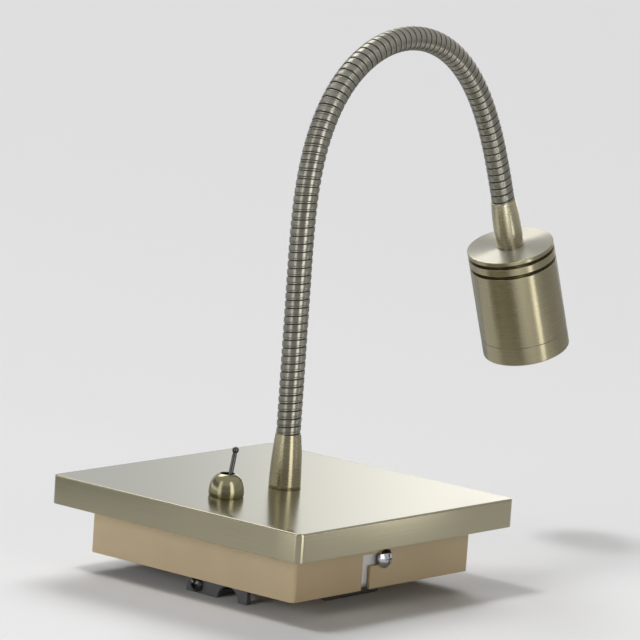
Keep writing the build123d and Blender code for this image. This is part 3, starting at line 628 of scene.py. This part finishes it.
def wound(start, end, phase, across, radius, shift=(0, 0), first=0):
    """A strip wound round the neck from start to end. At turn angle f its middle is at
    start + pitch * f / (2 pi); across and radius give its section, along the neck and from the
    centre. Across is divided by 1 - bend * radius * cos f, so the strip keeps its true width. The
    strip lies off its middle by the first shift where the neck is straight and by the second where it
    is fully bent, in proportion to the heading between. Its corners are numbered from first on."""
    turns = (end - start) / winding_pitch
    angle = np.linspace(0, 2 * np.pi * turns, int(round(ring_steps * turns)) + 1)
    middle = start + winding_pitch * angle / (2 * np.pi)
    angle = angle + phase
    squeeze = 1 - bend(middle) * band_crown * np.cos(angle)
    settled = np.minimum(heading(middle) / settled_heading, 1)
    offset = shift[0] + (shift[1] - shift[0]) * settled
    along = middle[:, None] + (across[None] + offset[:, None]) / squeeze[:, None]
    origin, inward, sideways, _ = neck_seat(along)
    ring = np.cos(angle)[:, None, None] * inward + np.sin(angle)[:, None, None] * sideways
    points = (origin + radius[None, :, None] * ring).reshape(-1, 3)
    rows, columns = along.shape
    quads = first + grid_quads(rows, columns)[:, ::-1]
    rim = first + np.arange(columns)
    caps = [rim.tolist(), (rim[::-1] + (rows - 1) * columns).tolist()]
    edge = way_along(np.stack([across, radius], 1), closed=True)
    uv = grid_uv(edge, angle * band_crown).reshape(-1, 4, 2)[:, ::-1, ::-1].reshape(-1, 2)
    return points, quads.tolist() + caps, np.concatenate([uv, np.zeros((cap_count * columns, 2))])


print("turns of the winding along the neck:", link_count * turns_per_link)

# %% The winding
winding_sharp = 60


def winding(name, start, end):
    """The band, and half a turn on the wire in its gap, from start to end along the neck as one piece.
    The wire's low faces take a near-black colour: painted shade in the grooves."""
    phase = 2 * np.pi * start / winding_pitch
    shift = (straight_shift, arch_shift)
    band = wound(start, end, phase, band_across, band_out)
    wire = wound(start, end, phase + np.pi, wire_across, wire_out, shift, len(band[0]))
    points, uv = np.concatenate([band[0], wire[0]]), np.concatenate([band[2], wire[2]])
    piece = make_piece(name, points, band[1] + wire[1], uv, neck_brass, winding_sharp)
    piece.data.materials.append(groove_painted_shade)
    # The faces low in the groove take the painted shade.
    dark = np.zeros(len(piece.data.polygons), np.int32)
    dark[len(band[1]) : -cap_count] = np.resize(in_groove, len(wire[1]) - cap_count)
    piece.data.polygons.foreach_set("material_index", dark)
    return piece


half_link = link_pitch / 2
foot_tuck, tip_tuck = 1.5 * mm, 1.0 * mm
root = winding("neck_winding_01", -foot_tuck, half_link)
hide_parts("neck_link_01")
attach(root, "cover")
for joint in range(1, link_count):
    start, end = joint * link_pitch - half_link, joint * link_pitch + half_link
    last = end if joint < link_count - 1 else neck_length + tip_tuck
    stretch = winding(f"neck_winding_{joint + 1:02d}", start, last)
    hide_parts(f"neck_link_{joint + 1:02d}")
    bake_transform(stretch)

# %% [markdown]
# ## Ferrules
# A ferrule takes each end of the neck. The one on the plate widens to its foot and stands on a small
# step, and the one on the head has a swollen wall and an undercut foot. A cone would be close, but
# both are lathe work with a gentle swell, so a profile is spun about the axis and the swell is a
# parabola added to the taper.

# %% Ferrule on the plate
upright = (np.array([1.0, 0, 0]), np.array([0, 1.0, 0]), overhead)
plate_seat = (np.array([0, 0, base_face]), *upright)
rise = np.linspace(0, 1, 24)


def swollen(first, last, swell):
    """Radii that go evenly from first to last, with a parabola that adds the swell half way."""
    return first + (last - first) * rise + swell * 4 * rise * (1 - rise)


ferrule_foot, ferrule_top, ferrule_swell = np.array([6.6, 5.15, 0.3]) * mm
ferrule_bore, rim_width, lip_depth = np.array([4.2, 0.6, 0.5]) * mm
ferrule_step = np.array([[4.0, 0], [6.2, 0], [6.25, 0.25], [6.5, 0.3], [6.6, 0.45]]) * mm
ferrule_wall = np.stack([swollen(ferrule_foot, ferrule_top, ferrule_swell), ferrule_height * rise], 1)
rim_inside = [ferrule_top - rim_width, ferrule_height]
in_bore = [ferrule_bore, ferrule_height - lip_depth]
ferrule_lip = soften([ferrule_wall[-1], rim_inside, in_bore], [0, broken_edge, 0])
ferrule_profile = np.concatenate([ferrule_step, ferrule_wall[1:], ferrule_lip[1:]])
base_ferrule = lathe("base_ferrule_turned", ferrule_profile, plate_seat, turned_brass)
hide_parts("base_ferrule")
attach(base_ferrule, "cover")

# %% Ferrule on the head
barrel_top, barrel_foot, barrel_swell, barrel_undercut = np.array([5.15, 5.6, 0.5, 0.5]) * mm
barrel_start, barrel_end, barrel_length = np.array([-1.0, 19.3, 19.8]) * mm
barrel_bore, mouth_depth, mouth_edge, undercut_slope = np.array([4.0, 0.2, 0.3, 0.05]) * mm
barrel_heights = barrel_start + (barrel_end - barrel_start) * rise
barrel_wall = np.stack([swollen(barrel_top, barrel_foot, barrel_swell), barrel_heights], 1)
in_mouth = [barrel_bore, barrel_start + mouth_depth]
barrel_mouth = soften([in_mouth, [barrel_top, barrel_start], barrel_wall[1]], [0, mouth_edge, 0])
undercut_radius = barrel_foot - barrel_undercut
barrel_step = [[undercut_radius, barrel_end + undercut_slope], [undercut_radius, barrel_length]]
barrel_profile = np.concatenate([barrel_mouth, barrel_wall[2:], barrel_step])
head_ferrule = lathe("head_ferrule_turned", barrel_profile, neck_end, turned_brass_painted_light)
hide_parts("head_ferrule")
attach(head_ferrule, "head")

# %% [markdown]
# ## The plate
# The front plate is pressed from sheet: a flat brushed face, a small bend at its edge and tight
# corners. A bevelled cube has the shape, but its UV map would not follow the brushing. Here a section
# is carried round a rounded square to make the walls, and shrinking copies of the same outline close
# the face, so the lines run round the walls and straight across the face.

# %% The plate's outline and section
plate_low, plate_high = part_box("front_plate")
plate_half = (plate_high.x - plate_low.x) / 2
plate_corner, plate_edge, plate_wall, least_corner = np.array([3.0, 0.7, 1.5, 0.4]) * mm
plate_turn_in, face_inset = 0.4 * mm, 4 * mm
corner_steps, side_points, edge_steps = 8, 12, 8


def rounded_square(half, corner):
    """Points round a square whose corners are arcs: the arc's centre plus the radius at each angle,
    with more points along each straight side. Returns the points and the way round to each."""
    angle = np.linspace(0, np.pi / 2, corner_steps + 1)
    arcs = [half - corner + corner * np.stack([np.cos(angle), np.sin(angle)], 1)]
    quarter = np.array([[0, 1], [-1, 0]])
    for _ in range(3):
        arcs.append(arcs[-1] @ quarter)
    sides = [np.linspace(arcs[n][-1], arcs[(n + 1) % 4][0], side_points)[1:-1] for n in range(4)]
    outline = np.concatenate([part for n in range(4) for part in (arcs[n], sides[n])])
    return outline, way_along(outline, closed=True)


section_corners = [
    [plate_wall, plate_low.z + plate_turn_in],
    [plate_wall, plate_low.z],
    [0, plate_low.z],
    [0, plate_high.z],
    [face_inset, plate_high.z],
]
section = soften(section_corners, [0, broken_edge, small_edge, plate_edge, 0], edge_steps)
print("plate is", round(2 * plate_half / mm, 1), "mm square, with", len(section), "points in its section")

# %% Front plate
rows = []
for inset, height in section:
    outline, way = rounded_square(plate_half - inset, max(plate_corner - inset, least_corner))
    rows.append(np.column_stack([outline, np.full(len(outline), height)]))
rim = np.stack(rows)
columns = rim.shape[1]
rim_uv = grid_uv(way, way_along(section))

face_rings = 13
shrink = np.linspace(1, 0, face_rings)
face_points = (rim[-1] * np.stack([shrink, shrink, np.ones_like(shrink)], 1)[:, None]).reshape(-1, 3)
face_quads = grid_quads(face_rings, columns)
face_uv = face_points[face_quads.ravel()][:, :2]

plate_points = np.concatenate([rim.reshape(-1, 3), face_points])
plate_quads = np.concatenate([grid_quads(len(section), columns), face_quads + len(section) * columns])
plate_uv = np.concatenate([rim_uv, face_uv])
front_plate = make_piece(
    "front_plate_brushed", plate_points, plate_quads.tolist(), plate_uv, plate_brass
)
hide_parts("front_plate")
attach(front_plate, "cover")

# %% [markdown]
# ## The switch
# A domed nut holds the toggle switch to the plate, and the lever, a turned pin with a ball end, leans
# out of its mouth. Half a sphere would look too pointed, because the real nut has full shoulders. Its
# profile is a superellipse, whose one power sets how full they are, cut off at the mouth.

# %% Domed nut
switch_x = -35.3 * mm
switch_seat = (np.array([switch_x, 0, base_face]), *upright)
dome_radius, dome_height, dome_mouth = np.array([7.1, 9.0, 3.2]) * mm
foot_bore, foot_inset, lip_width, bore_inset, bore_depth = np.array([4.0, 0.25, 0.25, 0.3, 5.0]) * mm
dome_power, dome_start, dome_points = 2.6, 0.05, 32
dome_peak = dome_height / (1 - (dome_mouth / dome_radius) ** dome_power) ** (1 / dome_power)
dome_end = np.arccos((dome_mouth / dome_radius) ** (dome_power / 2))
sweep = np.linspace(dome_start, dome_end, dome_points)
dome_out = dome_radius * np.cos(sweep) ** (2 / dome_power)
dome_up = dome_peak * np.sin(sweep) ** (2 / dome_power)
dome_arc = np.stack([dome_out, dome_up], 1)
dome_foot = soften([[foot_bore, 0], [dome_radius - foot_inset, 0], dome_arc[0]], [0, broken_edge, 0])
mouth_rim = [dome_mouth - lip_width, dome_height]
mouth_floor = [dome_mouth - bore_inset, dome_height - bore_depth]
dome_lip = soften([dome_arc[-1], mouth_rim, mouth_floor], [0, small_edge, 0])
dome_profile = np.concatenate([dome_foot[:-1], dome_arc, dome_lip[1:]])
dome = lathe("switch_dome_turned", dome_profile, switch_seat, dome_brass)
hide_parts("switch_dome_nut")
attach(dome, "cover")

# %% Lever
lean = np.radians(12.0)
pivot_drop, pivot_ball = 0.5 * mm, 2.0 * mm
pivot_spot = np.array([switch_x, 0, base_face - pivot_drop])
lever_axis = np.array([np.sin(lean), 0, np.cos(lean)])
lever_seat = (pivot_spot, np.array([np.cos(lean), 0, -np.sin(lean)]), upright[1], lever_axis)
lever_radius, lever_tip, lever_reach, lever_tail = np.array([0.95, 1.35, 20.2, 8.5]) * mm
tip_start, pivot_end, ball_points, lever_spokes = -0.9, 1.05, 16, 48
tip_angle = np.linspace(tip_start, np.pi / 2, ball_points)
tip_middle = lever_reach - lever_tip
tip_profile = np.stack([lever_tip * np.cos(tip_angle), tip_middle + lever_tip * np.sin(tip_angle)], 1)
pivot_angle = np.linspace(-pivot_end, pivot_end, ball_points)
pivot_profile = pivot_ball * np.stack([np.cos(pivot_angle), np.sin(pivot_angle)], 1)
pin_heights = np.array([3, 3.3, 15.9, 16.2]) * mm
pin_profile = np.column_stack([np.full(len(pin_heights), lever_radius), pin_heights])
tail_profile = [[0, -lever_tail], [lever_radius, -lever_tail]]
lever_profile = np.concatenate([tail_profile, pivot_profile, pin_profile, tip_profile])
lever = lathe("switch_lever_turned", lever_profile, lever_seat, nickel, lever_spokes)
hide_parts("switch_lever")
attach(lever, "lever")

# %% [markdown]
# ## The head
# The spot head is a turned cylinder with two cooling grooves near its top, and a front ring that
# screws into it. Grooves could be cut out of a cylinder by a modifier, but one profile that walks in
# and out of them keeps the mesh clean and gives every edge a small round. Those rounds catch the
# light, as on the real turning.

# %% Head body
head_seat = (neck_end[0] + neck_end[3] * barrel_length, *neck_end[1:])
head_radius, head_length, groove_width, groove_depth = np.array([18.4, 48.0, 1.5, 3.5]) * mm
grooves = np.array([2.5, 7.1]) * mm
ring_height, top_edge, head_bore, body_wall = np.array([8.1, 0.35, 4.5, 2.4]) * mm
head_spokes = 128
body_end = head_length - ring_height
corners = [[head_bore, 0], [head_radius, 0]]
for groove in grooves:
    corners += [
        [head_radius, groove - groove_width / 2],
        [head_radius - groove_depth, groove - groove_width / 2],
        [head_radius - groove_depth, groove + groove_width / 2],
        [head_radius, groove + groove_width / 2],
    ]
corners += [[head_radius, body_end], [head_radius - body_wall, body_end]]
radii = [0, top_edge] + [small_edge] * (len(corners) - 3) + [0]
head_body = lathe("head_body_turned", soften(corners, radii), head_seat, turned_brass, head_spokes)
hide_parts("head_body")
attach(head_body, "head")

# %% The head's faced top
top_depth = 0.01 * mm
centres = np.empty(3 * len(head_body.data.polygons))
head_body.data.polygons.foreach_get("center", centres)
depth = (centres.reshape(-1, 3) - head_seat[0]) @ head_seat[3]
on_top = (depth < top_depth).astype(np.int32)
head_body.data.materials.append(faced_brass_painted_reflection)
head_body.data.polygons.foreach_set("material_index", on_top)
print("faces on the head's top:", on_top.sum())

# %% Front ring
lip_height, lip_radius, ring_bore, ring_gap = np.array([1.8, 13.1, 14.5, 0.12]) * mm
thread_step, thread_length, front_edge, lip_edge = np.array([2.6, 6.0, 0.5, 0.3]) * mm
thread_radius, thread_start = head_radius - thread_step, body_end - thread_length
ring_corners = [
    [ring_bore, thread_start],
    [thread_radius, thread_start],
    [thread_radius, body_end + ring_gap],
    [head_radius, body_end + ring_gap],
    [head_radius, head_length],
    [lip_radius, head_length],
    [lip_radius, head_length - lip_height],
    [ring_bore, head_length - lip_height],
    [ring_bore, thread_start],
]
ring_radii = [0] + [broken_edge] * 2 + [small_edge, front_edge, lip_edge] + [broken_edge] * 2 + [0]
ring_profile = soften(ring_corners, ring_radii)
bezel = lathe("bezel_ring_turned", ring_profile, head_seat, turned_brass, head_spokes)
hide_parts("bezel_ring")
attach(bezel, "head")

# %% [markdown]
# ## Pieces that keep their CAD shape
# The skirt, the bracket, the screws and everything inside are sheet, bar and moulded parts whose CAD
# shape is right as it is. They could be modelled again, but that would only repeat the same faces, so
# they just take their finishes.

# %% Finishes on the CAD pieces
kept = {
    "skirt": skirt_tan,
    "wall_bracket": dull_zinc_painted_shade,
    "side_screws": chrome,
    "earth_screw": nickel,
    "earth_washer": chrome,
    "plate_studs": zinc,
    "stud_nuts": zinc,
    "neck_washer": zinc,
    "neck_nut": zinc,
    "head_nut": zinc,
    "switch_washer": zinc,
    "switch_bushing": zinc,
    "driver_screws": zinc,
    "led_screws": zinc,
    "terminal_screws": zinc,
    "switch_rocker": contact_brass,
    "switch_terminals": contact_brass,
    "switch_body": phenolic,
    "heat_sink": machined_aluminium,
    "led_board": solder_mask,
    "led_emitter": phosphor,
    "cover_lens": lens_glass,
    "collimator": lens_glass,
    "lens_gasket": rubber_black,
    "led_driver": case_white,
    "terminal_block": case_white,
    "head_lead": insulation_red,
    "base_leads": insulation_red,
}
for name, material in kept.items():
    nodes[name].data.materials.clear()
    nodes[name].data.materials.append(material)
print("CAD pieces with a finish:", len(kept))
